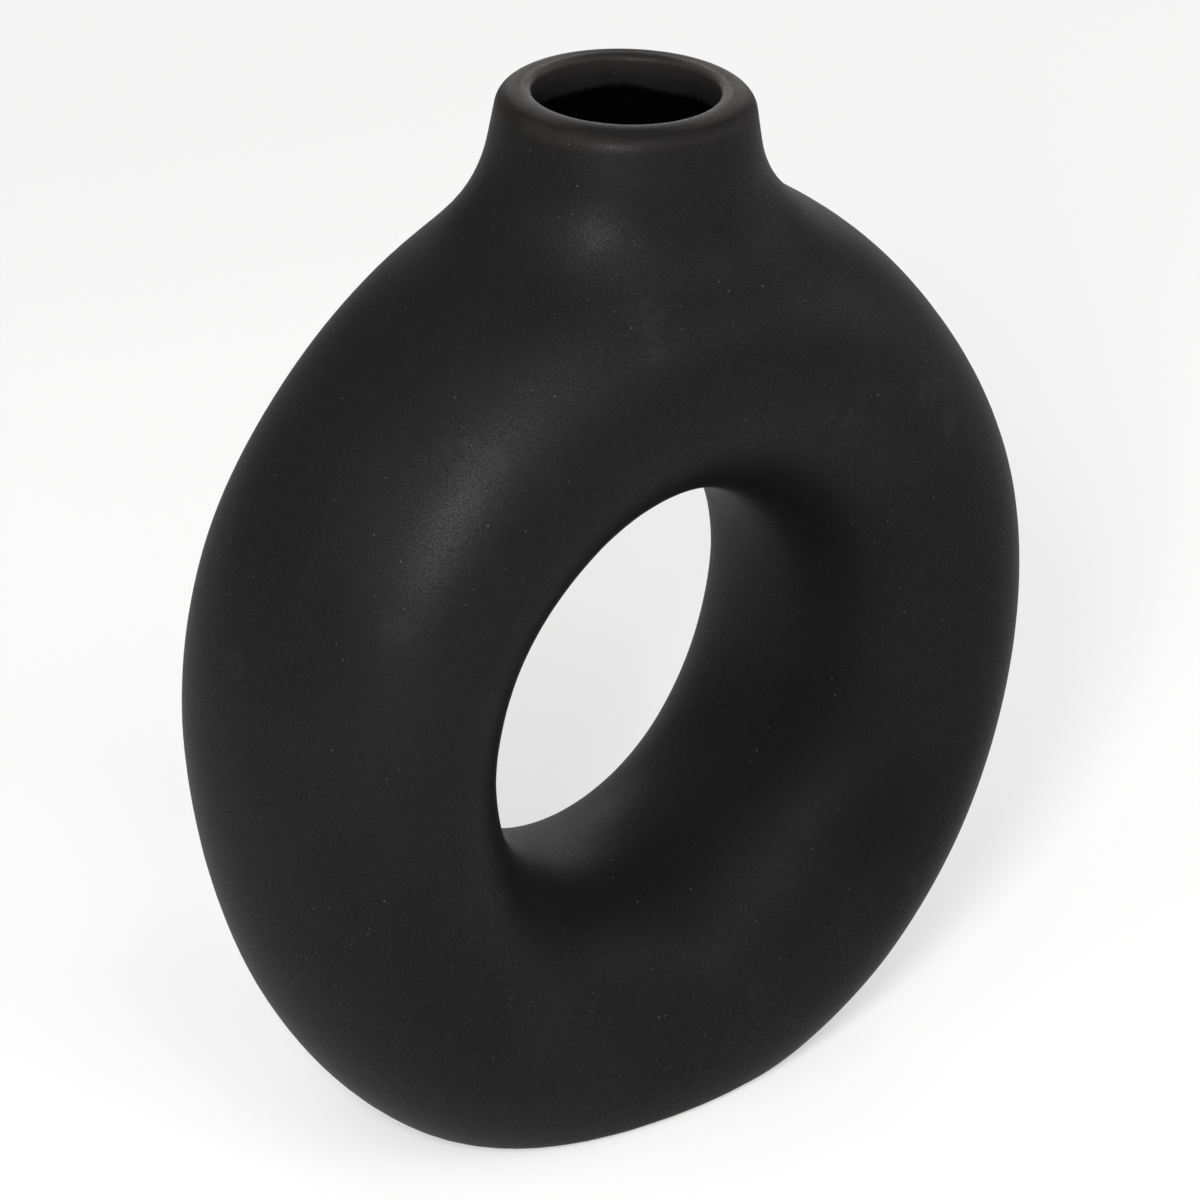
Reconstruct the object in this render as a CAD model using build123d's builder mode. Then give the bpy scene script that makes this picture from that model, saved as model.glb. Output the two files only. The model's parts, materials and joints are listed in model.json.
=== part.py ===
import math
import os

from build123d import *

os.makedirs("parts", exist_ok=True)

# Ring-shaped ceramic vase, in millimetres. The origin is the middle of the foot,
# +Z is up and the front face looks along -Y.

# Outside of the ring, which swells towards its crown and is cut flat below its base
overall_width = 189.6
ring_centre_height = 95.0
hole_diameter = 83.4
crown_swell = 13.8
base_cut = 16.0

# Depth of the ring, front to back
crown_depth = 82.2
side_depth = 79.2
base_depth = 74.6

# How far radius and depth have gone from their side value to their crown or base value,
# at even steps from the crown or the base to the side
crown_shares = (1.0, 0.57, 0.19, 0.0)
base_shares = (1.0, 0.77, 0.21, 0.0)

# Neck, tapered in degrees, with its blend into the ring held back by the room below the lip
neck_rise = 16.4
lip_diameter = 50.0
mouth_diameter = 37.4
neck_taper = 10.0
shoulder_fillet = 30.0
shoulder_limit_share = 2.7
lip_round_share = 0.66
mouth_round_share = 0.18

# Clay walls and the foot
wall = 6.0
foot_thickness = 7.0
foot_round = 4.0

# Slip between the clay pieces
slip_thickness = 0.8
neck_seam_drop = 10.5

# Overrun of everything that is cut
overrun = 10.0

# Derived sizes
side_radius = overall_width / 2
hole_radius = hole_diameter / 2
crown_radius = side_radius + crown_swell
base_radius = ring_centre_height + base_cut
middle_radius = (hole_radius + side_radius) / 2
crown_height = ring_centre_height + crown_radius
crown_section_height = ring_centre_height + (hole_radius + crown_radius) / 2
overall_height = crown_height + neck_rise
lip_radius = lip_diameter / 2
mouth_radius = mouth_diameter / 2
lip_round = lip_round_share * (lip_radius - mouth_radius)
mouth_round = mouth_round_share * (lip_radius - mouth_radius)
shoulder_blend = min(shoulder_fillet, shoulder_limit_share * (neck_rise - lip_round))
neck_bottom = crown_height - neck_seam_drop
shell_top = neck_bottom - slip_thickness
shell_bottom = foot_thickness + slip_thickness

# Planes that shape the ring and part the clay pieces
floor_plane = Plane.XY
foot_top_plane = Plane.XY.offset(foot_thickness)
shell_bottom_plane = Plane.XY.offset(shell_bottom)
ring_centre_plane = Plane.XY.offset(ring_centre_height)
crown_section_plane = Plane.XY.offset(crown_section_height)
shell_top_plane = Plane.XY.offset(shell_top)
neck_bottom_plane = Plane.XY.offset(neck_bottom)
lip_plane = Plane.XY.offset(overall_height)
front_plane = Plane.XZ.offset(slip_thickness / 2)
rear_plane = Plane.XZ.offset(-slip_thickness / 2)
hole_plane = Plane.XZ.shift_origin((0, 0, ring_centre_height))

# The ring is drawn section by section, in equal steps of a quarter turn's shares
quarter_steps = len(crown_shares) - 1
crown_step = 0
base_step = 2 * quarter_steps
ring_steps = 4 * quarter_steps
arch_reach = quarter_steps + 1


def ring_size(step):
    """Outer radius and depth of the ring at a step counted from its crown."""
    from_crown = min(step % ring_steps, -step % ring_steps)
    if from_crown <= quarter_steps:
        share = crown_shares[from_crown]
        outer_radius = side_radius + (crown_radius - side_radius) * share
        depth = side_depth + (crown_depth - side_depth) * share
    else:
        share = base_shares[base_step - from_crown]
        outer_radius = side_radius + (base_radius - side_radius) * share
        depth = side_depth + (base_depth - side_depth) * share
    return outer_radius, depth


def ring_sections(middle_step, inset):
    """Elliptical sections of the arch around one step, drawn in by an inset."""
    sections = []
    for step in range(middle_step - arch_reach, middle_step + arch_reach + 1):
        outer_radius, depth = ring_size(step)
        turn = 2 * math.pi * step / ring_steps
        out_x = math.sin(turn)
        out_z = math.cos(turn)
        centre_radius = (outer_radius + hole_radius) / 2
        centre = (centre_radius * out_x, 0, ring_centre_height + centre_radius * out_z)
        section_plane = Plane(origin=centre, x_dir=(-out_x, 0, -out_z), z_dir=(out_z, 0, -out_x))
        with BuildSketch(section_plane) as section:
            Ellipse((outer_radius - hole_radius) / 2 - inset, depth / 2 - inset)
        sections.append(section.sketch)
    return sections


def ring_form(inset):
    """The ring as one solid: an upper and a lower arch that meet on both sides of the hole."""
    with BuildPart() as upper_arch:
        loft(ring_sections(crown_step, inset))
        split(bisect_by=ring_centre_plane, keep=Keep.TOP)
    with BuildPart() as lower_arch:
        loft(ring_sections(base_step, inset))
        split(bisect_by=ring_centre_plane, keep=Keep.BOTTOM)
    with BuildPart() as ring:
        add(upper_arch.part)
        add(lower_arch.part)
    return ring.part


# Outer form: ring and tapered neck, blended at the shoulder, flat and rounded at the foot
with BuildPart() as outer_form:
    add(ring_form(0))
    with BuildSketch(lip_plane):
        Circle(lip_radius)
    extrude(amount=crown_section_height - overall_height, taper=-neck_taper)
    neck_side = outer_form.faces().filter_by(GeomType.CONE)
    fillet(neck_side.edges().group_by(Axis.Z)[0], shoulder_blend)
    split(bisect_by=floor_plane, keep=Keep.TOP)
    foot_face = outer_form.faces().filter_by(floor_plane).sort_by(Axis.Z)[0]
    fillet(foot_face.edges(), foot_round)

# Hollow: the same ring drawn in by the wall, with a flat floor and the bore of the neck
with BuildPart() as hollow:
    add(ring_form(wall))
    split(bisect_by=foot_top_plane, keep=Keep.TOP)
    with BuildSketch(crown_section_plane):
        Circle(mouth_radius)
    extrude(amount=overall_height - crown_section_height + overrun)

# The whole clay body before it is parted, its lip well rounded outside and eased at the mouth
with BuildPart() as clay_body:
    add(outer_form.part)
    add(hollow.part, mode=Mode.SUBTRACT)
    lip_face = clay_body.faces().filter_by(lip_plane).sort_by(Axis.Z)[-1]
    fillet(lip_face.edges().sort_by(SortBy.RADIUS)[-1], lip_round)
    lip_face = clay_body.faces().filter_by(lip_plane).sort_by(Axis.Z)[-1]
    fillet(lip_face.edges().sort_by(SortBy.RADIUS)[0], mouth_round)

# Ring wall between the foot slab and the neck
with BuildPart() as ring_wall:
    add(clay_body.part)
    split(bisect_by=shell_bottom_plane, keep=Keep.TOP)
    split(bisect_by=shell_top_plane, keep=Keep.BOTTOM)

# Slice of the ring wall that the slip between the two halves takes
with BuildPart() as ring_slice:
    add(ring_wall.part)
    split(bisect_by=front_plane, keep=Keep.BOTTOM)
    split(bisect_by=rear_plane, keep=Keep.TOP)

# Front half of the ring, a pressed shell that is open at the back
with BuildPart() as front_shell:
    add(ring_wall.part)
    split(bisect_by=front_plane, keep=Keep.TOP)

front_shell.part.label = "front_shell"
export_step(front_shell.part, "parts/front_shell.step")

# Rear half of the ring
with BuildPart() as rear_shell:
    add(ring_wall.part)
    split(bisect_by=rear_plane, keep=Keep.BOTTOM)

rear_shell.part.label = "rear_shell"
export_step(rear_shell.part, "parts/rear_shell.step")

# Neck: a collar that sits on the crown of the ring and carries the mouth
with BuildPart() as neck:
    add(clay_body.part)
    split(bisect_by=neck_bottom_plane, keep=Keep.TOP)

neck.part.label = "neck"
export_step(neck.part, "parts/neck.step")

# Foot slab: the flat oval that closes the ring where it stands
with BuildPart() as foot_slab:
    add(clay_body.part)
    split(bisect_by=foot_top_plane, keep=Keep.BOTTOM)

foot_slab.part.label = "foot_slab"
export_step(foot_slab.part, "parts/foot_slab.step")

# Slip between the halves along the outside of the ring, one run on each side
with BuildPart() as outer_seam:
    add(ring_slice.part)
    with BuildSketch(hole_plane):
        Circle(middle_radius)
    extrude(amount=overrun, both=True, mode=Mode.SUBTRACT)

outer_seam.part.label = "outer_seam"
export_step(outer_seam.part, "parts/outer_seam.step")

# Slip between the halves around the hole
with BuildPart() as hole_seam:
    add(ring_slice.part)
    with BuildSketch(hole_plane):
        Circle(middle_radius)
    extrude(amount=overrun, both=True, mode=Mode.INTERSECT)

hole_seam.part.label = "hole_seam"
export_step(hole_seam.part, "parts/hole_seam.step")

# Slip between the shells and the neck
with BuildPart() as neck_seam:
    add(clay_body.part)
    split(bisect_by=shell_top_plane, keep=Keep.TOP)
    split(bisect_by=neck_bottom_plane, keep=Keep.BOTTOM)

neck_seam.part.label = "neck_seam"
export_step(neck_seam.part, "parts/neck_seam.step")

# Slip between the foot slab and the shells
with BuildPart() as foot_seam:
    add(clay_body.part)
    split(bisect_by=foot_top_plane, keep=Keep.TOP)
    split(bisect_by=shell_bottom_plane, keep=Keep.BOTTOM)

foot_seam.part.label = "foot_seam"
export_step(foot_seam.part, "parts/foot_seam.step")
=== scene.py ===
import bpy
import bmesh
import json
import math
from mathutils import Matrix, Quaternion, Vector


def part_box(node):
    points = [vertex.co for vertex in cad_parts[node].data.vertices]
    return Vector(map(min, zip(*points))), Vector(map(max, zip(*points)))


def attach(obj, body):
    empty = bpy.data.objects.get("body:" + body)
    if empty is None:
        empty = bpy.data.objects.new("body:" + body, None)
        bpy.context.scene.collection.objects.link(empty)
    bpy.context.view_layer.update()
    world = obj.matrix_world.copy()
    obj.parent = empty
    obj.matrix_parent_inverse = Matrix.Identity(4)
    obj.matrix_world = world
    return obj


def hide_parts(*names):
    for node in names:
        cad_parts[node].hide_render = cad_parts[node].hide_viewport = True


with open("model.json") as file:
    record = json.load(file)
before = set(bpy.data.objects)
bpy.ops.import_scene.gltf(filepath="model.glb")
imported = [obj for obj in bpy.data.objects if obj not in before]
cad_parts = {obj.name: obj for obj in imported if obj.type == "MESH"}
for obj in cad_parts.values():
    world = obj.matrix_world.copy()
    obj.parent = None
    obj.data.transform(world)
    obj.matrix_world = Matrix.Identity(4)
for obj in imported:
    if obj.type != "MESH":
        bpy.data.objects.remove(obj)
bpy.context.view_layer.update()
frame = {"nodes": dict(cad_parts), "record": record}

print("frame loaded:", len(frame["nodes"]), "pieces")


# Small helpers for operator work

def pickOnly(*objs):
    if bpy.context.mode != "OBJECT":
        bpy.ops.object.mode_set(mode="OBJECT")
    bpy.ops.object.select_all(action="DESELECT")
    for obj in objs:
        obj.select_set(True)
    bpy.context.view_layer.objects.active = objs[0]


def applyModifier(obj, kind, **settings):
    pickOnly(obj)
    modifier = obj.modifiers.new(kind.lower(), kind)
    for setting, value in settings.items():
        setattr(modifier, setting, value)
    bpy.ops.object.modifier_apply(modifier=modifier.name)


def editAll(obj):
    pickOnly(obj)
    bpy.ops.object.mode_set(mode="EDIT")
    bpy.ops.mesh.select_mode(type="VERT")
    bpy.ops.mesh.select_all(action="SELECT")


# Sizes read from the frame

def readClay():
    holeLow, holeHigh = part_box("hole_seam")
    shellLow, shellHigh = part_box("rear_shell")
    neckLow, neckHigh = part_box("neck")
    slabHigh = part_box("foot_slab")[1]
    centre = (holeLow.z + holeHigh.z) / 2
    seamPoints = [v.co for v in frame["nodes"]["hole_seam"].data.vertices]
    seamRadii = [math.hypot(point.x, point.z - centre) for point in seamPoints]
    mouth = next(m for m in frame["record"]["mounts"] if m["name"] == "mouth")
    return {
        "centre": centre,
        "holeRadius": min(seamRadii),
        "wall": max(seamRadii) - min(seamRadii),
        "sideRadius": shellHigh.x,
        "halfDepth": shellHigh.y,
        "halfSlip": shellLow.y,
        "shellBottom": shellLow.z,
        "shellTop": shellHigh.z,
        "neckBottom": neckLow.z,
        "lipTop": neckHigh.z,
        "slabTop": slabHigh.z,
        "mouthRadius": mouth["dims"]["r_mm"] / 1000,
    }


clay = readClay()
print("clay read:", {key: round(value, 4) for key, value in clay.items()})


# Clay target: all the pieces as one surface, outside and inside, to press the new skin onto

meeting = {
    "weld": 1e-5,
    "facing": 0.999,  # how squarely a face has to look along the way the pieces meet
    "within": 2e-5,
}


def makeTarget():
    pickOnly(*frame["nodes"].values())
    bpy.ops.object.duplicate()
    bpy.ops.object.join()
    target = bpy.context.view_layer.objects.active
    target.name = "clayTarget"
    target.parent = None
    editAll(target)
    bpy.ops.mesh.remove_doubles(threshold=meeting["weld"])

    # the faces where the pieces meet go, so that no point is drawn into a seam
    bpy.ops.mesh.select_all(action="DESELECT")
    bpy.ops.mesh.select_mode(type="FACE")
    meetHeights = (clay["slabTop"], clay["shellBottom"], clay["shellTop"], clay["neckBottom"])
    bm = bmesh.from_edit_mesh(target.data)
    for face in bm.faces:
        place = face.calc_center_median()
        depthOff = abs(abs(place.y) - clay["halfSlip"])
        heightOff = min(abs(place.z - height) for height in meetHeights)
        isUpright = abs(face.normal.y) > meeting["facing"] and depthOff < meeting["within"]
        isLevel = abs(face.normal.z) > meeting["facing"] and heightOff < meeting["within"]
        face.select = isUpright or isLevel
    bmesh.update_edit_mesh(target.data)
    bpy.ops.mesh.delete(type="FACE")
    bpy.ops.object.mode_set(mode="OBJECT")
    return target


# Ring skin: a torus stood upright, opened at the crown, then swelled and flattened at the foot

ring = {
    "turns": 48,  # segments around the ring
    "rounds": 24,  # segments around its section
    "openTurn": math.radians(22.5),  # crown opening along the ring
    "openRound": math.radians(60),  # and across it
    "crownSwell": 0.0138,  # growth of the outer radius towards the neck
    "baseRadius": 0.111,  # outer radius where the base would end without the foot
    "crownPower": 3,
    "basePower": 2,
    "fineness": 2,  # times that each face is divided
    "easeShare": 0.5,
    "easeTimes": 3,
}


def makeRing(name, inset, floor):
    mid = (clay["sideRadius"] + clay["holeRadius"]) / 2
    half = (clay["sideRadius"] - clay["holeRadius"]) / 2 - inset
    bpy.ops.object.select_all(action="DESELECT")
    bpy.ops.mesh.primitive_torus_add(
        major_segments=ring["turns"], minor_segments=ring["rounds"],
        major_radius=mid, minor_radius=half,
        location=(0, 0, clay["centre"]), rotation=(math.pi / 2, 0, 0))
    skin = bpy.context.active_object
    skin.name = name
    bpy.ops.object.transform_apply(location=True, rotation=True, scale=True)

    # open the crown where the neck stands
    editAll(skin)
    bpy.ops.mesh.select_all(action="DESELECT")
    bpy.ops.mesh.select_mode(type="FACE")
    bm = bmesh.from_edit_mesh(skin.data)
    for face in bm.faces:
        centre = face.calc_center_median()
        up = centre.z - clay["centre"]
        turn = math.atan2(centre.x, up)
        roundTurn = math.atan2(centre.y, math.hypot(centre.x, up) - mid)
        face.select = abs(turn) < ring["openTurn"] and abs(roundTurn) < ring["openRound"]
    bmesh.update_edit_mesh(skin.data)
    bpy.ops.mesh.delete(type="FACE")

    # oval section, then the swell towards crown and base
    bpy.ops.mesh.select_all(action="SELECT")
    bpy.ops.transform.resize(value=(1, (clay["halfDepth"] - inset) / half, 1))
    bm = bmesh.from_edit_mesh(skin.data)
    for v in bm.verts:
        up = v.co.z - clay["centre"]
        reach = math.hypot(v.co.x, up)
        rise = up / reach
        outer = clay["sideRadius"] + ring["crownSwell"] * max(rise, 0) ** ring["crownPower"]
        outer += (ring["baseRadius"] - clay["sideRadius"]) * max(-rise, 0) ** ring["basePower"]
        newMid = (outer + clay["holeRadius"]) / 2
        newHalf = (outer - clay["holeRadius"]) / 2 - inset
        newReach = newMid + (reach - mid) / half * newHalf
        v.co.x *= newReach / reach
        v.co.z = max(clay["centre"] + up * newReach / reach, floor)
    bmesh.update_edit_mesh(skin.data)
    bpy.ops.object.mode_set(mode="OBJECT")
    return skin


# Neck: rings extruded up from the crown opening, over the lip and down the bore

neck = {
    # half width, half depth and height of each ring, from the shoulder up
    "flare": [(0.0355, 0.0309, 0.1962), (0.0308, 0.0289, 0.2022), (0.0280, 0.0275, 0.2082),
              (0.0263, 0.0262, 0.2132)],
    # radius and height over the lip, well rounded outside and crisp at the mouth
    "lip": [(0.0256, 0.2160), (0.0249, 0.2178), (0.0235, 0.2192), (0.0217, 0.2199), (0.0204, 0.2200),
            (0.0195, 0.2199), (0.0189, 0.2194), (0.0187, 0.2186)],
    "boreHeights": [0.2150, 0.2090, 0.2030, 0.1975],
    "boreEnd": (0.0210, 0.0200, 0.1938),
    # the mouth edge is eased above this height and within this radius
    "easeFrom": 0.2162,
    "easeWithin": 0.0212,
    "easeTimes": 18,
    "turnSlack": 1e-4,  # a point this close to a full turn is the first of its ring
}
lining = {
    "lift": 0.0002,  # keeps the lining just clear of the slab
    "clayFrom": 0.012,  # height above which the lining is pressed onto the clay
}


def neckRings():
    rings = list(neck["flare"])
    rings += [(radius, radius, height) for radius, height in neck["lip"]]
    rings += [(clay["mouthRadius"], clay["mouthRadius"], height) for height in neck["boreHeights"]]
    rings.append(neck["boreEnd"])
    return rings


def raiseNeck(skin):
    editAll(skin)
    bpy.ops.mesh.select_all(action="DESELECT")
    bpy.ops.mesh.select_mode(type="EDGE")
    bpy.ops.mesh.select_non_manifold()
    for radiusX, radiusY, height in neckRings():
        bpy.ops.mesh.extrude_edges_move(TRANSFORM_OT_translate={"value": (0, 0, 0)})
        bm = bmesh.from_edit_mesh(skin.data)
        loop = [v for v in bm.verts if v.select]
        loop.sort(key=lambda v: math.atan2(v.co.y, v.co.x) % (2 * math.pi - neck["turnSlack"]))
        for step, v in enumerate(loop):
            angle = 2 * math.pi * step / len(loop)
            v.co = (radiusX * math.cos(angle), radiusY * math.sin(angle), height)
        bmesh.update_edit_mesh(skin.data)
    bpy.ops.object.mode_set(mode="OBJECT")


def makeVase():
    target = makeTarget()
    outside = makeRing("vaseSkin", 0, 0)
    raiseNeck(outside)
    inside = makeRing("vaseLining", clay["wall"], clay["slabTop"] + lining["lift"])
    outsideCount = len(outside.data.vertices)
    pickOnly(outside, inside)
    bpy.ops.object.join()
    vase = bpy.context.active_object
    onClay = vase.vertex_groups.new(name="onClay")
    pressed = [v.index for v in vase.data.vertices
               if v.index < outsideCount or v.co.z > lining["clayFrom"]]
    onClay.add(pressed, 1, "REPLACE")
    editAll(vase)
    bpy.ops.mesh.select_all(action="DESELECT")
    bpy.ops.mesh.select_mode(type="EDGE")
    bpy.ops.mesh.select_non_manifold()
    bpy.ops.mesh.bridge_edge_loops()
    bpy.ops.mesh.select_all(action="SELECT")
    bpy.ops.mesh.normals_make_consistent(inside=False)
    bpy.ops.object.mode_set(mode="OBJECT")
    applyModifier(vase, "SUBSURF", levels=ring["fineness"], render_levels=ring["fineness"])
    applyModifier(vase, "SHRINKWRAP", target=target, wrap_method="NEAREST_SURFACEPOINT",
                  vertex_group="onClay")
    applyModifier(vase, "SMOOTH", factor=ring["easeShare"], iterations=ring["easeTimes"],
                  vertex_group="onClay")

    # the edge of the mouth is eased further, as a wet finger would do it
    mouthEdge = vase.vertex_groups.new(name="mouthEdge")
    eased = [v.index for v in vase.data.vertices
             if v.co.z > neck["easeFrom"] and v.co.xy.length < neck["easeWithin"]]
    mouthEdge.add(eased, 1, "REPLACE")
    applyModifier(vase, "SMOOTH", factor=ring["easeShare"], iterations=neck["easeTimes"],
                  vertex_group="mouthEdge")
    bpy.data.objects.remove(target)
    return vase


vase = makeVase()
print("vase form:", len(vase.data.polygons), "faces")


# Hand-made unevenness, fading out on the flat foot

uneven = {
    "size": 0.045,  # width of the soft hollows and bumps
    "layers": 1,
    "depth": 0.0005,
    "middle": 0.2,  # under half, so the smoothed skin comes back out to the clay
    "footFade": (0.004, 0.022),  # still at the foot, full above
    "topLean": -0.0013,  # sideways lean of the hole, full at its top
    "sag": 0.0011,  # how far the hole sags outwards
    "sagTurn": 235,  # and where, in degrees from the right
    "sagPower": 4,  # a higher power makes the sag narrower
}


def roughenForm(form):
    low, high = uneven["footFade"]
    loose = form.vertex_groups.new(name="aboveFoot")
    for v in form.data.vertices:
        loose.add([v.index], min(max((v.co.z - low) / (high - low), 0), 1), "REPLACE")
    clouds = bpy.data.textures.new("clayHollows", "CLOUDS")
    clouds.noise_scale = uneven["size"]
    clouds.noise_depth = uneven["layers"]
    applyModifier(form, "DISPLACE", texture=clouds, texture_coords="LOCAL", strength=uneven["depth"],
                  mid_level=uneven["middle"], vertex_group="aboveFoot")
    form.vertex_groups.clear()


# the hole is a little out of true, as in the photo: its top leans left and its lower left sags
def settleHole(form):
    sagWay = math.radians(uneven["sagTurn"])
    for v in form.data.vertices:
        up = v.co.z - clay["centre"]
        inward = clay["sideRadius"] - math.hypot(v.co.x, up)
        share = inward / (clay["sideRadius"] - clay["holeRadius"])
        share = min(max(share, 0), 1)
        share = share * share * (3 - 2 * share)
        top = min(max(0.5 + up / (2 * clay["holeRadius"]), 0), 1)
        near = max(math.cos(math.atan2(up, v.co.x) - sagWay), 0) ** uneven["sagPower"]
        v.co.x += share * (uneven["topLean"] * top + uneven["sag"] * near * math.cos(sagWay))
        v.co.z += share * uneven["sag"] * near * math.sin(sagWay)


roughenForm(vase)
settleHole(vase)
pickOnly(vase)
bpy.ops.object.shade_smooth()


# Pieces: the form cut where the clay pieces meet, each cut closed

# a cut is a point on its plane and the way to the side that goes
def keepAbove(height):
    return (0, 0, height), (0, 0, -1)


def keepBelow(height):
    return (0, 0, height), (0, 0, 1)


def keepBehind(depth):
    return (0, depth, 0), (0, -1, 0)


def keepBefore(depth):
    return (0, depth, 0), (0, 1, 0)


ringWall = [keepAbove(clay["shellBottom"]), keepBelow(clay["shellTop"])]
slipSlice = [keepBehind(-clay["halfSlip"]), keepBefore(clay["halfSlip"])] + ringWall
pieceCuts = {
    "front_shell": [keepBefore(-clay["halfSlip"])] + ringWall,
    "rear_shell": [keepBehind(clay["halfSlip"])] + ringWall,
    "neck": [keepAbove(clay["neckBottom"])],
    "foot_slab": [keepBelow(clay["slabTop"])],
    "neck_seam": [keepAbove(clay["shellTop"]), keepBelow(clay["neckBottom"])],
    "foot_seam": [keepAbove(clay["slabTop"]), keepBelow(clay["shellBottom"])],
    "outer_seam": slipSlice,
    "hole_seam": slipSlice,
}
onCut = 1e-6  # a face is a cut face when it lies this close to a cut
pieceNames = {
    "front_shell": "frontShell", "rear_shell": "rearShell", "neck": "neckPiece", "foot_slab": "footSlab",
    "neck_seam": "neckSlip", "foot_seam": "footSlip", "outer_seam": "outerSlip", "hole_seam": "holeSlip",
}


def cutPiece(node):
    pickOnly(vase)
    bpy.ops.object.duplicate()
    piece = bpy.context.active_object
    piece.name = pieceNames[node]
    piece.data.name = pieceNames[node]
    for place, direction in pieceCuts[node]:
        editAll(piece)
        bpy.ops.mesh.bisect(plane_co=place, plane_no=direction, use_fill=True, clear_outer=True)
    if node in ("outer_seam", "hole_seam"):
        dropOtherLoop(piece, keepOuter=node == "outer_seam")
    bpy.ops.object.mode_set(mode="OBJECT")
    shadeCuts(piece, pieceCuts[node])
    return piece


# the slice between the shells is two loops of slip, and each is its own piece
def dropOtherLoop(piece, keepOuter):
    middle = (clay["sideRadius"] + clay["holeRadius"]) / 2
    bpy.ops.mesh.select_all(action="DESELECT")
    bm = bmesh.from_edit_mesh(piece.data)
    for v in bm.verts:
        isOuter = math.hypot(v.co.x, v.co.z - clay["centre"]) > middle
        v.select = isOuter != keepOuter
    bm.select_flush(True)
    bmesh.update_edit_mesh(piece.data)
    bpy.ops.mesh.delete(type="VERT")


# the skin keeps the uncut form's shading, so no cut shows, and the cut faces are flat
def shadeCuts(piece, cuts):
    applyModifier(piece, "DATA_TRANSFER", object=vase, use_loop_data=True,
                  data_types_loops={"CUSTOM_NORMAL"}, loop_mapping="POLYINTERP_NEAREST")
    mesh = piece.data
    normals = [corner.vector.copy() for corner in mesh.corner_normals]
    for face in mesh.polygons:
        for place, direction in cuts:
            corners = [mesh.vertices[i].co - Vector(place) for i in face.vertices]
            if max(abs(corner.dot(Vector(direction))) for corner in corners) < onCut:
                for loop in face.loop_indices:
                    normals[loop] = face.normal.copy()
    mesh.normals_split_custom_set(normals)


pieces = {node: cutPiece(node) for node in pieceCuts}
bpy.data.objects.remove(vase)
print("pieces cut:", {node: len(piece.data.polygons) for node, piece in pieces.items()})


# Finish: node groups shared by the clay and the slip

def newGroup(name, inputs, outputs):
    group = bpy.data.node_groups.new(name, "ShaderNodeTree")
    for socket, kind, value in inputs:
        made = group.interface.new_socket(socket, in_out="INPUT", socket_type=kind)
        if value is not None:
            made.default_value = value
    for socket, kind in outputs:
        group.interface.new_socket(socket, in_out="OUTPUT", socket_type=kind)
    return group, group.nodes.new("NodeGroupInput"), group.nodes.new("NodeGroupOutput")


def addNode(tree, kind, **settings):
    node = tree.nodes.new(kind)
    for setting, value in settings.items():
        setattr(node, setting, value)
    return node


def addMath(tree, operation, first, second=None, clamp=False):
    node = addNode(tree, "ShaderNodeMath", operation=operation, use_clamp=clamp)
    for socket, value in zip(node.inputs, (first, second)):
        if isinstance(value, (int, float)):
            socket.default_value = value
        elif value is not None:
            tree.links.new(value, socket)
    return node.outputs[0]


def addRange(tree, value, fromLow, fromHigh, toLow=0.0, toHigh=1.0, smooth=True):
    node = addNode(tree, "ShaderNodeMapRange", interpolation_type="SMOOTHSTEP" if smooth else "LINEAR")
    tree.links.new(value, node.inputs["Value"])
    sockets = ("From Min", "From Max", "To Min", "To Max")
    for socket, number in zip(sockets, (fromLow, fromHigh, toLow, toHigh)):
        node.inputs[socket].default_value = number
    return node.outputs["Result"]


def addNoise(tree, place, scale, detail, roughness):
    node = addNode(tree, "ShaderNodeTexNoise")
    node.inputs["Detail"].default_value = detail
    node.inputs["Roughness"].default_value = roughness
    if isinstance(scale, (int, float)):
        node.inputs["Scale"].default_value = scale
    else:
        tree.links.new(scale, node.inputs["Scale"])
    tree.links.new(place, node.inputs["Vector"])
    return node.outputs["Fac"]


def mixValue(tree, factor, first, second):
    node = addNode(tree, "ShaderNodeMix", data_type="FLOAT")
    tree.links.new(factor, node.inputs[0])
    for socket, value in zip(node.inputs[2:4], (first, second)):
        if isinstance(value, (int, float)):
            socket.default_value = value
        else:
            tree.links.new(value, socket)
    return node.outputs[0]


def mixColour(tree, factor, first, second):
    node = addNode(tree, "ShaderNodeMix", data_type="RGBA")
    tree.links.new(factor, node.inputs[0])
    for socket, value in zip(node.inputs[6:8], (first, second)):
        if isinstance(value, tuple):
            socket.default_value = value
        else:
            tree.links.new(value, socket)
    return node.outputs[2]


# a place with its height left out
def addFlat(tree, split):
    node = addNode(tree, "ShaderNodeCombineXYZ")
    tree.links.new(split.outputs["X"], node.inputs["X"])
    tree.links.new(split.outputs["Y"], node.inputs["Y"])
    return node.outputs["Vector"]


# how far a place lies from a centre, as a share of the reach
def addReachShare(group, start):
    apart = addNode(group, "ShaderNodeVectorMath", operation="DISTANCE")
    group.links.new(start.outputs["Place"], apart.inputs[0])
    group.links.new(start.outputs["Centre"], apart.inputs[1])
    return addMath(group, "DIVIDE", apart.outputs["Value"], start.outputs["Reach"])


# In the looks below a noise is scale, detail and roughness, and a detail is the last two of these.
# A range is where a mask is empty and where it is full, and two more numbers are its values there.

noiseMiddle = 0.5

# fine tooth of the matt coat, and the slow patchiness of a dipped surface
coatLook = {
    "toothScale": 3000.0,
    "toothDetail": (2.0, 0.6),
    "toothShare": 0.55,
    "glintRange": (0.36, 0.64),
    "dimpleNoise": (420.0, 2.0, 0.5),
    "dimpleShare": 0.45,
    "patchDetail": (5.0, 0.62),
    "patchRange": (0.36, 0.66),
    "cloudNoise": (9.0, 2.0, 0.5),
    "cloudRange": (0.32, 0.68),
}


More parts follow.
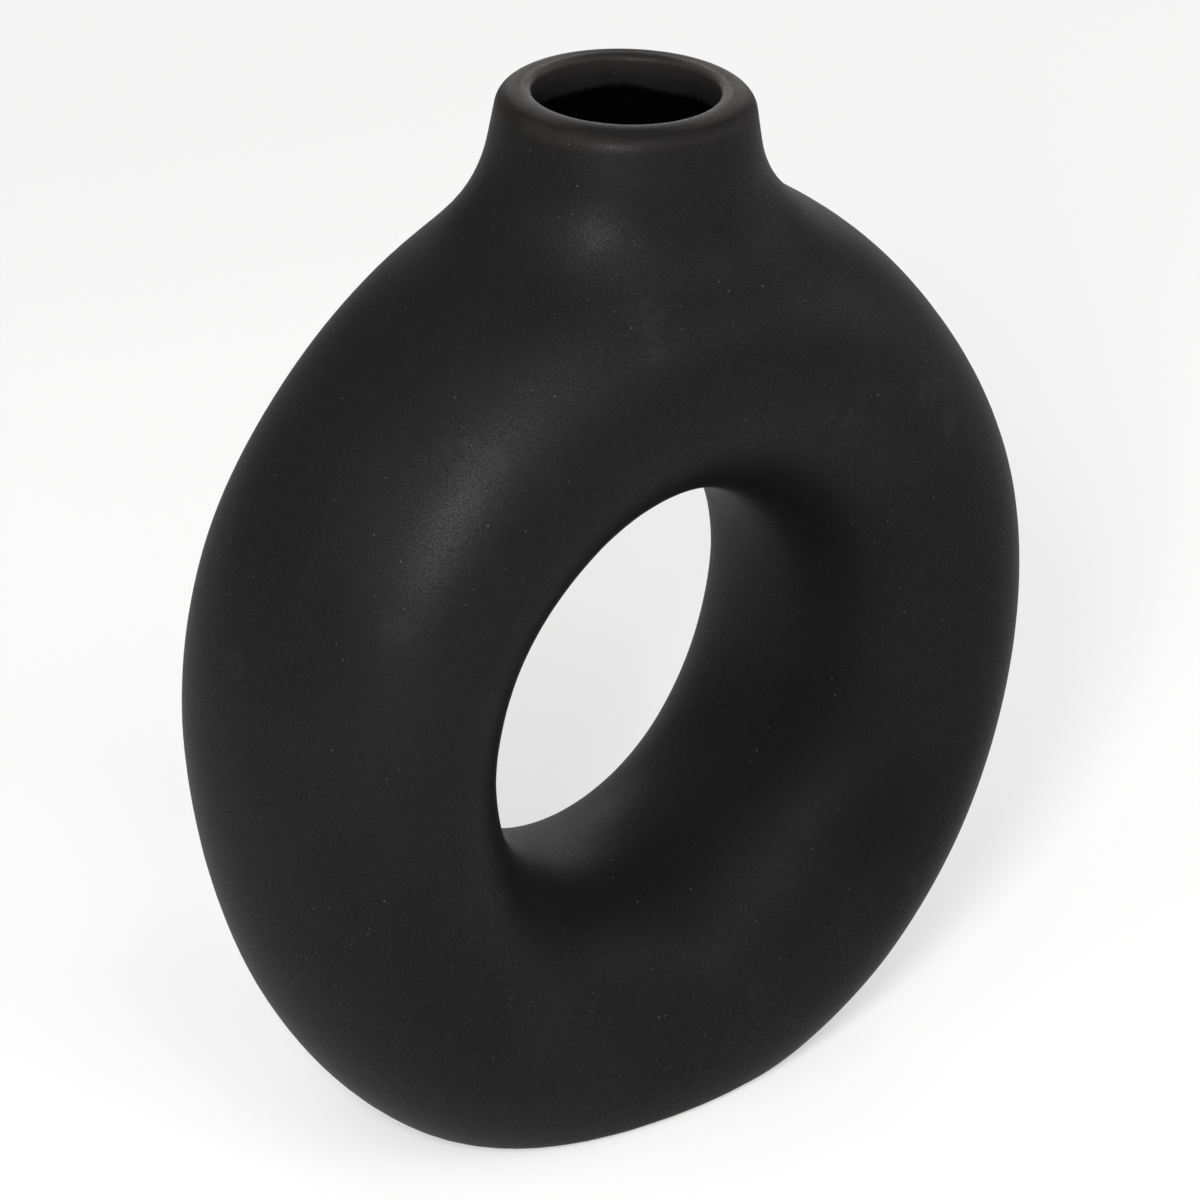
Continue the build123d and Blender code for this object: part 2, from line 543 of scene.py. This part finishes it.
def makeCoatGrain():
    group, start, end = newGroup(
        "coatGrain",
        [("Place", "NodeSocketVector", None), ("Tooth Scale", "NodeSocketFloat", coatLook["toothScale"]),
         ("Patch Scale", "NodeSocketFloat", None)],
        [("Height", "NodeSocketFloat"), ("Patches", "NodeSocketFloat"), ("Clouds", "NodeSocketFloat"),
         ("Glint", "NodeSocketFloat")])
    place = start.outputs["Place"]
    tooth = addNoise(group, place, start.outputs["Tooth Scale"], *coatLook["toothDetail"])
    dimple = addNoise(group, place, *coatLook["dimpleNoise"])
    height = addMath(group, "ADD", addMath(group, "MULTIPLY", tooth, coatLook["toothShare"]),
                     addMath(group, "MULTIPLY", dimple, coatLook["dimpleShare"]))
    dip = addNoise(group, place, start.outputs["Patch Scale"], *coatLook["patchDetail"])
    clouds = addNoise(group, place, *coatLook["cloudNoise"])
    group.links.new(height, end.inputs["Height"])
    group.links.new(addRange(group, dip, *coatLook["patchRange"]), end.inputs["Patches"])
    group.links.new(addRange(group, clouds, *coatLook["cloudRange"]), end.inputs["Clouds"])
    group.links.new(addRange(group, tooth, *coatLook["glintRange"]), end.inputs["Glint"])
    return group


# pale pin specks, few and small
speckLook = {
    "spacingScale": 620.0,
    "leastSize": 0.45,  # share of the size that the smallest speck has
    "bareCells": 0.80,  # share of the cells that have no speck
    "leastBright": 0.2,
    "moreBright": 0.8,
}


def makeSpecks():
    group, start, end = newGroup(
        "paleSpecks",
        [("Place", "NodeSocketVector", None),
         ("Spacing Scale", "NodeSocketFloat", speckLook["spacingScale"]), ("Size", "NodeSocketFloat", None)],
        [("Mask", "NodeSocketFloat")])
    cells = addNode(group, "ShaderNodeTexVoronoi", feature="F1")
    group.links.new(start.outputs["Place"], cells.inputs["Vector"])
    group.links.new(start.outputs["Spacing Scale"], cells.inputs["Scale"])
    split = addNode(group, "ShaderNodeSeparateColor")
    group.links.new(cells.outputs["Color"], split.inputs["Color"])
    sizeShare = addMath(group, "ADD", split.outputs["Green"], speckLook["leastSize"])
    size = addMath(group, "MULTIPLY", start.outputs["Size"], sizeShare)
    inside = addMath(group, "LESS_THAN", cells.outputs["Distance"], size)
    chosen = addMath(group, "GREATER_THAN", split.outputs["Red"], speckLook["bareCells"])
    bright = addMath(group, "MULTIPLY", split.outputs["Blue"], speckLook["moreBright"])
    bright = addMath(group, "ADD", bright, speckLook["leastBright"])
    mask = addMath(group, "MULTIPLY", addMath(group, "MULTIPLY", inside, chosen), bright)
    group.links.new(mask, end.inputs["Mask"])
    return group


# chalky smudges over all of the coat
chalkLook = {
    "markScale": 34.0,
    "markDetail": (3.0, 0.55),
    "markRange": (0.64, 0.76),
    "lineNoise": (330.0, 3.0, 0.6),
    "lineRange": (0.42, 0.66),
}


def makeChalk():
    group, start, end = newGroup(
        "chalkMarks",
        [("Place", "NodeSocketVector", None), ("Mark Scale", "NodeSocketFloat", chalkLook["markScale"])],
        [("Mask", "NodeSocketFloat")])
    place = start.outputs["Place"]
    marks = addNoise(group, place, start.outputs["Mark Scale"], *chalkLook["markDetail"])
    lines = addNoise(group, place, *chalkLook["lineNoise"])
    mask = addMath(group, "MULTIPLY", addRange(group, marks, *chalkLook["markRange"]),
                   addRange(group, lines, *chalkLook["lineRange"]))
    group.links.new(mask, end.inputs["Mask"])
    return group


# crest of the lip painted pale, most at the two flanks across the camera's view: partly worn coat, partly a
# painted highlight of the lip top; clay brown below it and where the foot stands
thinLook = {
    "crestDepth": 0.0006,
    "across": (0.79, -0.62, 0.0),  # the way across the mouth, square to the camera's view, to the two flanks painted palest
    "litSideRange": (0.006, 0.019, 0.12, 1.0),
    "streakNoise": (70.0, 4.0, 0.65),
    "streakRange": (0.40, 0.66, 0.55, 1.0),
    "bandStart": (0.0002, 0.0012),  # depth below the lip
    "bandEnd": (0.0046, 0.0022),
    "bandRadius": (0.0200, 0.0212),
    "patchNoise": (55.0, 4.0, 0.65),
    "patchRange": (0.42, 0.66, 0.15, 1.0),
    "footRange": (0.0024, 0.0006),
    "rubNoise": (90.0, 4.0, 0.7),
    "rubRange": (0.5, 0.72),
}


def makeThinCoat():
    group, start, end = newGroup(
        "thinCoatAndLipHighlight",
        [("Place", "NodeSocketVector", None), ("Lip Top", "NodeSocketFloat", None),
         ("Crest Depth", "NodeSocketFloat", thinLook["crestDepth"]),
         ("Across", "NodeSocketVector", thinLook["across"])],
        [("Pale", "NodeSocketFloat"), ("Brown", "NodeSocketFloat")])
    place = start.outputs["Place"]
    split = addNode(group, "ShaderNodeSeparateXYZ")
    group.links.new(place, split.inputs["Vector"])
    height = split.outputs["Z"]
    below = addMath(group, "SUBTRACT", start.outputs["Lip Top"], height)
    depthShare = addMath(group, "DIVIDE", below, start.outputs["Crest Depth"])
    crest = addMath(group, "SUBTRACT", 1.0, depthShare, clamp=True)
    reach = addNode(group, "ShaderNodeVectorMath", operation="DOT_PRODUCT")
    group.links.new(place, reach.inputs[0])
    group.links.new(start.outputs["Across"], reach.inputs[1])
    sides = addRange(group, addMath(group, "ABSOLUTE", reach.outputs["Value"]), *thinLook["litSideRange"])
    streaks = addRange(group, addNoise(group, place, *thinLook["streakNoise"]), *thinLook["streakRange"])
    # painted highlight: the crest, palest at its two flanks, partly worn coat
    pale = addMath(group, "MULTIPLY", crest, addMath(group, "MULTIPLY", sides, streaks))
    outside = addNode(group, "ShaderNodeVectorMath", operation="LENGTH")
    group.links.new(addFlat(group, split), outside.inputs[0])
    band = addMath(group, "MULTIPLY", addRange(group, below, *thinLook["bandStart"]),
                   addRange(group, below, *thinLook["bandEnd"]))
    rim = addRange(group, outside.outputs["Value"], *thinLook["bandRadius"])
    patches = addRange(group, addNoise(group, place, *thinLook["patchNoise"]), *thinLook["patchRange"])
    lipBrown = addMath(group, "MULTIPLY", addMath(group, "MULTIPLY", band, rim), patches)
    foot = addRange(group, height, *thinLook["footRange"])
    rubbed = addRange(group, addNoise(group, place, *thinLook["rubNoise"]), *thinLook["rubRange"])
    footBrown = addMath(group, "MULTIPLY", foot, rubbed)
    group.links.new(pale, end.inputs["Pale"])
    group.links.new(addMath(group, "ADD", lipBrown, footBrown, clamp=True), end.inputs["Brown"])
    return group


# inside of the neck: the upper wall is painted lighter below the lip, a painted light; further down a black
# glaze with faint rings starts, its near-black colour partly painted shade of the deep bore
mouthLook = {
    "startHeight": 0.2137,
    "boreRange": (0.0012, 0.0006),  # past the radius of the mouth
    "boreBottom": (0.150, 0.160),
    "sagNoise": (95.0, 4.0, 0.6),
    "sagDepth": 0.0030,
    "glazeRange": (-0.0006, 0.0008),  # below the start of the glaze
    # painted light: where the upper inner wall is made lighter
    "litUpperRange": (-0.0008, -0.0052),
    "edgeRadius": (0.0026, 0.0014),
    "edgeRange": (0.0004, -0.0020),
    "wobbleNoise": (60.0, 2.0, 0.5),
    "wobble": 4.0,
    "ringPace": 900.0,  # radians of ripple per metre of height
}


def makeMouthGlaze():
    group, start, end = newGroup(
        "mouthGlazeAndShade",
        [("Place", "NodeSocketVector", None), ("Mouth Radius", "NodeSocketFloat", None),
         ("Start Height", "NodeSocketFloat", mouthLook["startHeight"])],
        [("Mask", "NodeSocketFloat"), ("Upper", "NodeSocketFloat"), ("Edge", "NodeSocketFloat"),
         ("Ripple", "NodeSocketFloat")])
    place = start.outputs["Place"]
    split = addNode(group, "ShaderNodeSeparateXYZ")
    group.links.new(place, split.inputs["Vector"])
    height = split.outputs["Z"]
    across = addNode(group, "ShaderNodeVectorMath", operation="LENGTH")
    group.links.new(addFlat(group, split), across.inputs[0])
    past = addMath(group, "SUBTRACT", across.outputs["Value"], start.outputs["Mouth Radius"])
    bore = addMath(group, "MULTIPLY", addRange(group, past, *mouthLook["boreRange"]),
                   addRange(group, height, *mouthLook["boreBottom"]))
    sag = addMath(group, "SUBTRACT", addNoise(group, place, *mouthLook["sagNoise"]), noiseMiddle)
    sagged = addMath(group, "ADD", height, addMath(group, "MULTIPLY", sag, mouthLook["sagDepth"]))
    under = addMath(group, "SUBTRACT", start.outputs["Start Height"], sagged)
    # painted shade: deep in the bore, together with the glossy glaze
    mask = addMath(group, "MULTIPLY", bore, addRange(group, under, *mouthLook["glazeRange"]))
    upper = addMath(group, "MULTIPLY", bore, addRange(group, under, *mouthLook["litUpperRange"]))
    edge = addMath(group, "MULTIPLY", addRange(group, past, *mouthLook["edgeRadius"]),
                   addRange(group, under, *mouthLook["edgeRange"]))
    wobble = addNoise(group, place, *mouthLook["wobbleNoise"])
    phase = addMath(group, "ADD", addMath(group, "MULTIPLY", height, mouthLook["ringPace"]),
                    addMath(group, "MULTIPLY", wobble, mouthLook["wobble"]))
    ripple = addMath(group, "MULTIPLY", addMath(group, "SINE", phase), bore)
    group.links.new(mask, end.inputs["Mask"])
    group.links.new(upper, end.inputs["Upper"])
    group.links.new(edge, end.inputs["Edge"])
    group.links.new(ripple, end.inputs["Ripple"])
    return group


spotInputs = [("Place", "NodeSocketVector", None), ("Centre", "NodeSocketVector", None),
              ("Reach", "NodeSocketFloat", None)]

# a single chalky dab with a ragged edge
dabLook = {
    "tearNoise": (260.0, 3.0, 0.6),
    "tearDepth": 1.4,
    "spotRange": (0.95, 0.35),
    "grainNoise": (700.0, 2.0, 0.5),
    "grainRange": (0.38, 0.62, 0.35, 1.0),
}


def makeChalkDab():
    group, start, end = newGroup("chalkDab", spotInputs, [("Mask", "NodeSocketFloat")])
    place = start.outputs["Place"]
    tear = addMath(group, "SUBTRACT", addNoise(group, place, *dabLook["tearNoise"]), noiseMiddle)
    ragged = addMath(group, "ADD", addReachShare(group, start),
                     addMath(group, "MULTIPLY", tear, dabLook["tearDepth"]))
    grains = addRange(group, addNoise(group, place, *dabLook["grainNoise"]), *dabLook["grainRange"])
    spot = addRange(group, ragged, *dabLook["spotRange"])
    group.links.new(addMath(group, "MULTIPLY", spot, grains), end.inputs["Mask"])
    return group


# a soft round patch where the coat has less sheen
def makeDryPatch():
    group, start, end = newGroup("dryPatch", spotInputs, [("Mask", "NodeSocketFloat")])
    group.links.new(addRange(group, addReachShare(group, start), 1.0, 0.0), end.inputs["Mask"])
    return group


coatGrain = makeCoatGrain()
paleSpecks = makeSpecks()
chalkMarks = makeChalk()
thinCoatAndLipHighlight = makeThinCoat()
mouthGlazeAndShade = makeMouthGlaze()
chalkDab = makeChalkDab()
dryPatch = makeDryPatch()

# chalky dabs: place, reach and strength, the first seven where the photo has one and two on the back
dabs = [
    ((-0.019, -0.032, 0.188), 0.0058, 0.22),
    ((-0.020, -0.036, 0.183), 0.0042, 0.25),
    ((-0.076, -0.031, 0.137), 0.0042, 0.30),
    ((0.049, -0.039, 0.157), 0.0045, 0.25),
    ((0.055, -0.039, 0.149), 0.0040, 0.25),
    ((-0.092, 0.000, 0.121), 0.0045, 0.25),
    ((0.005, 0.008, 0.053), 0.0060, 0.30),
    ((0.056, 0.033, 0.150), 0.0060, 0.30),
    ((0.020, 0.037, 0.060), 0.0050, 0.30),
]

# where the photo shows less sheen than the lamps give: place, reach, share of the sheen that is gone
dryPatches = [
    ((0.037, -0.027, 0.060), 0.034, 0.80),
    ((-0.022, -0.021, 0.203), 0.016, 0.25),
    ((0.013, 0.017, 0.220), 0.014, 0.55),
]

finish = {
    "coat": (0.0070, 0.0067, 0.0067, 1),
    "coatPale": (0.0092, 0.0088, 0.0088, 1),  # where the dip ran thinner
    "chalk": (0.024, 0.024, 0.024, 1),
    "chalkShare": 0.5,
    "speck": (0.085, 0.083, 0.080, 1),
    # worn coat and painted highlight on the lip crest
    "lipWornAndLit": (0.040, 0.036, 0.034, 1),
    "clayBrown": (0.023, 0.0178, 0.0162, 1),  # clay showing through
    "brownShare": 0.5,
    # painted light on the upper inner wall
    "litUpperWall": (0.014, 0.0128, 0.0124, 1),
    # near-black: a glossy glaze, and painted shade of the deep bore
    "glaze": (0.0004, 0.0004, 0.0004, 1),
    "patchScale": 22.0,
    "speckSize": 0.08,
    "roughness": (0.44, 0.48),
    "glazeRoughness": 0.2,
    "specular": 0.01,  # the satin top does the shining
    "sheen": (0.065, 0.215),  # weight of the satin top, from pit to grain
    "edgeGloss": 2.4,  # how much more the mouth edge shines
    "glazeSheen": 0.3,  # share of the satin top left on the glaze
    "sheenRoughness": 0.445,
    "toothDepth": 0.00003,
    "rippleDepth": 0.00006,
}


def addSpot(tree, group, place, centre, reach):
    spot = addNode(tree, "ShaderNodeGroup", node_tree=group)
    tree.links.new(place, spot.inputs["Place"])
    spot.inputs["Centre"].default_value = centre
    spot.inputs["Reach"].default_value = reach
    return spot.outputs["Mask"]


def makeCeramic(name):
    material = bpy.data.materials.new(name)
    material.use_nodes = True
    tree = material.node_tree
    tree.nodes.clear()
    place = addNode(tree, "ShaderNodeTexCoord").outputs["Object"]
    grain = addNode(tree, "ShaderNodeGroup", node_tree=coatGrain)
    grain.inputs["Patch Scale"].default_value = finish["patchScale"]
    specks = addNode(tree, "ShaderNodeGroup", node_tree=paleSpecks)
    specks.inputs["Size"].default_value = finish["speckSize"]
    chalk = addNode(tree, "ShaderNodeGroup", node_tree=chalkMarks)
    thin = addNode(tree, "ShaderNodeGroup", node_tree=thinCoatAndLipHighlight)
    thin.inputs["Lip Top"].default_value = clay["lipTop"]
    mouth = addNode(tree, "ShaderNodeGroup", node_tree=mouthGlazeAndShade)
    mouth.inputs["Mouth Radius"].default_value = clay["mouthRadius"]
    for effect in (grain, specks, chalk, thin, mouth):
        tree.links.new(place, effect.inputs["Place"])

    colour = mixColour(tree, grain.outputs["Patches"], finish["coat"], finish["coatPale"])
    smudges = addMath(tree, "MULTIPLY", chalk.outputs["Mask"], finish["chalkShare"])
    colour = mixColour(tree, smudges, colour, finish["chalk"])
    for centre, reach, strength in dabs:
        dab = addMath(tree, "MULTIPLY", addSpot(tree, chalkDab, place, centre, reach), strength)
        colour = mixColour(tree, dab, colour, finish["chalk"])
    # painted light: the upper inner wall of the neck made lighter towards the lip
    colour = mixColour(tree, mouth.outputs["Upper"], colour, finish["litUpperWall"])
    brown = addMath(tree, "MULTIPLY", thin.outputs["Brown"], finish["brownShare"])
    colour = mixColour(tree, brown, colour, finish["clayBrown"])
    # painted highlight on the lip crest, partly worn coat
    colour = mixColour(tree, thin.outputs["Pale"], colour, finish["lipWornAndLit"])
    colour = mixColour(tree, specks.outputs["Mask"], colour, finish["speck"])
    # painted shade: the bore below the glaze start goes near-black over a glossy glaze
    colour = mixColour(tree, mouth.outputs["Mask"], colour, finish["glaze"])
    low, high = finish["roughness"]
    rough = addRange(tree, grain.outputs["Clouds"], 0.0, 1.0, low, high, smooth=False)
    rough = mixValue(tree, mouth.outputs["Mask"], rough, finish["glazeRoughness"])

    tooth = addNode(tree, "ShaderNodeBump")
    tooth.inputs["Strength"].default_value = 1.0
    tooth.inputs["Distance"].default_value = finish["toothDepth"]
    tree.links.new(grain.outputs["Height"], tooth.inputs["Height"])
    ripple = addNode(tree, "ShaderNodeBump")
    ripple.inputs["Strength"].default_value = 1.0
    ripple.inputs["Distance"].default_value = finish["rippleDepth"]
    tree.links.new(mouth.outputs["Ripple"], ripple.inputs["Height"])
    tree.links.new(tooth.outputs["Normal"], ripple.inputs["Normal"])

    shader = addNode(tree, "ShaderNodeBsdfPrincipled")
    shader.inputs["Specular IOR Level"].default_value = finish["specular"]
    shader.inputs["Coat Roughness"].default_value = finish["sheenRoughness"]
    matt, bright = finish["sheen"]
    sheen = addRange(tree, grain.outputs["Glint"], 0.0, 1.0, matt, bright, smooth=False)
    for part, share in (("Edge", finish["edgeGloss"]), ("Mask", finish["glazeSheen"])):
        change = addRange(tree, mouth.outputs[part], 0.0, 1.0, 1.0, share)
        sheen = addMath(tree, "MULTIPLY", sheen, change)
    for centre, reach, strength in dryPatches:
        lost = addMath(tree, "MULTIPLY", addSpot(tree, dryPatch, place, centre, reach), strength)
        sheen = addMath(tree, "MULTIPLY", sheen, addMath(tree, "SUBTRACT", 1.0, lost))
    tree.links.new(sheen, shader.inputs["Coat Weight"])
    tree.links.new(colour, shader.inputs["Base Color"])
    tree.links.new(rough, shader.inputs["Roughness"])
    tree.links.new(ripple.outputs["Normal"], shader.inputs["Normal"])
    output = addNode(tree, "ShaderNodeOutputMaterial")
    tree.links.new(shader.outputs["BSDF"], output.inputs["Surface"])
    return material


ceramicFinish = makeCeramic("blackCeramic")
slipFinish = makeCeramic("blackSlip")


def dressPiece(node, piece):
    isSlip = node.endswith("_seam")
    piece.data.materials.clear()
    piece.data.materials.append(slipFinish if isSlip else ceramicFinish)
    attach(piece, "root")
    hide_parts(node)


for node, piece in pieces.items():
    dressPiece(node, piece)
print("pieces dressed:", len(pieces))


# Floor and light

floor = {"width": 12.0, "colour": (0.5, 0.498, 0.496, 1), "glow": 0.45}
lamps = {
    "key": {"azimuth": -48, "elevation": 31, "distance": 1.0, "width": 0.20, "height": 0.30, "power": 8.7},
    "front": {"azimuth": -10, "elevation": 45, "distance": 2.0, "width": 1.2, "height": 1.2, "power": 9.0},
    "fill": {"azimuth": 30, "elevation": 26, "distance": 2.0, "width": 0.8, "height": 0.8, "power": 5.5},
    "left": {"azimuth": -92, "elevation": 38, "distance": 2.0, "width": 1.4, "height": 1.4, "power": 5.4},
    "side": {"azimuth": 70, "elevation": 18, "distance": 2.0, "width": 1.2, "height": 1.0, "power": 6.0},
    "back": {"azimuth": 140, "elevation": 14, "distance": 2.0, "width": 2.2, "height": 0.8, "power": 10.5},
}
lampAim = Vector((0, 0, 0.12))  # a little above the middle of the hole
sky = {"colour": (1, 1, 1, 1), "strength": 0.42}


def makeFloor():
    bpy.ops.object.select_all(action="DESELECT")
    bpy.ops.mesh.primitive_plane_add(size=floor["width"])
    plate = bpy.context.active_object
    plate.name = "studioFloor"
    material = bpy.data.materials.new("paleFloor")
    material.use_nodes = True
    tree = material.node_tree
    tree.nodes.clear()
    paint = addNode(tree, "ShaderNodeBsdfDiffuse")
    paint.inputs["Color"].default_value = floor["colour"]
    glow = addNode(tree, "ShaderNodeEmission")
    path = addNode(tree, "ShaderNodeLightPath")
    seen = addMath(tree, "MAXIMUM", path.outputs["Is Camera Ray"], addMath(
        tree, "MAXIMUM", path.outputs["Is Glossy Ray"], path.outputs["Is Transmission Ray"]))
    tree.links.new(addMath(tree, "MULTIPLY", seen, floor["glow"]), glow.inputs["Strength"])
    both = addNode(tree, "ShaderNodeAddShader")
    tree.links.new(paint.outputs["BSDF"], both.inputs[0])
    tree.links.new(glow.outputs["Emission"], both.inputs[1])
    output = addNode(tree, "ShaderNodeOutputMaterial")
    tree.links.new(both.outputs["Shader"], output.inputs["Surface"])
    plate.data.materials.append(material)


def makeLamp(name, lamp):
    turn, lift = math.radians(lamp["azimuth"]), math.radians(lamp["elevation"])
    towards = Vector((math.sin(turn) * math.cos(lift), -math.cos(turn) * math.cos(lift), math.sin(lift)))
    bpy.ops.object.light_add(type="AREA", location=lampAim + towards * lamp["distance"])
    light = bpy.context.active_object
    light.name = name
    light.rotation_euler = towards.to_track_quat("Z", "Y").to_euler()
    light.data.shape = "ELLIPSE"
    light.data.size = lamp["width"]
    light.data.size_y = lamp["height"]
    light.data.energy = lamp["power"]


def makeSky():
    world = bpy.data.worlds.new("studioSky")
    world.use_nodes = True
    ground = world.node_tree.nodes["Background"]
    ground.inputs["Color"].default_value = sky["colour"]
    ground.inputs["Strength"].default_value = sky["strength"]
    bpy.context.scene.world = world


view = {
    "eye": (-0.521, -0.664, 0.536),
    "aim": (0, 0.0043, 0.1066),
    "roll": math.radians(1.44),
    "lens": 138.02,
    "sensor": 36,
    "farEnd": 50,
}


def makeCamera():
    eye, aim = Vector(view["eye"]), Vector(view["aim"])
    bpy.ops.object.camera_add(location=eye)
    camera = bpy.context.active_object
    camera.name = "photoCamera"
    turn = (aim - eye).to_track_quat("-Z", "Y") @ Quaternion((0, 0, 1), view["roll"])
    camera.rotation_euler = turn.to_euler()
    camera.data.lens = view["lens"]
    camera.data.sensor_width = view["sensor"]
    camera.data.clip_end = view["farEnd"]
    bpy.context.scene.camera = camera


makeFloor()
for name, lamp in lamps.items():
    makeLamp(name + "Light", lamp)
makeSky()
makeCamera()
bpy.context.scene.view_settings.view_transform = "Standard"
print("stage set:", len(lamps), "lights")
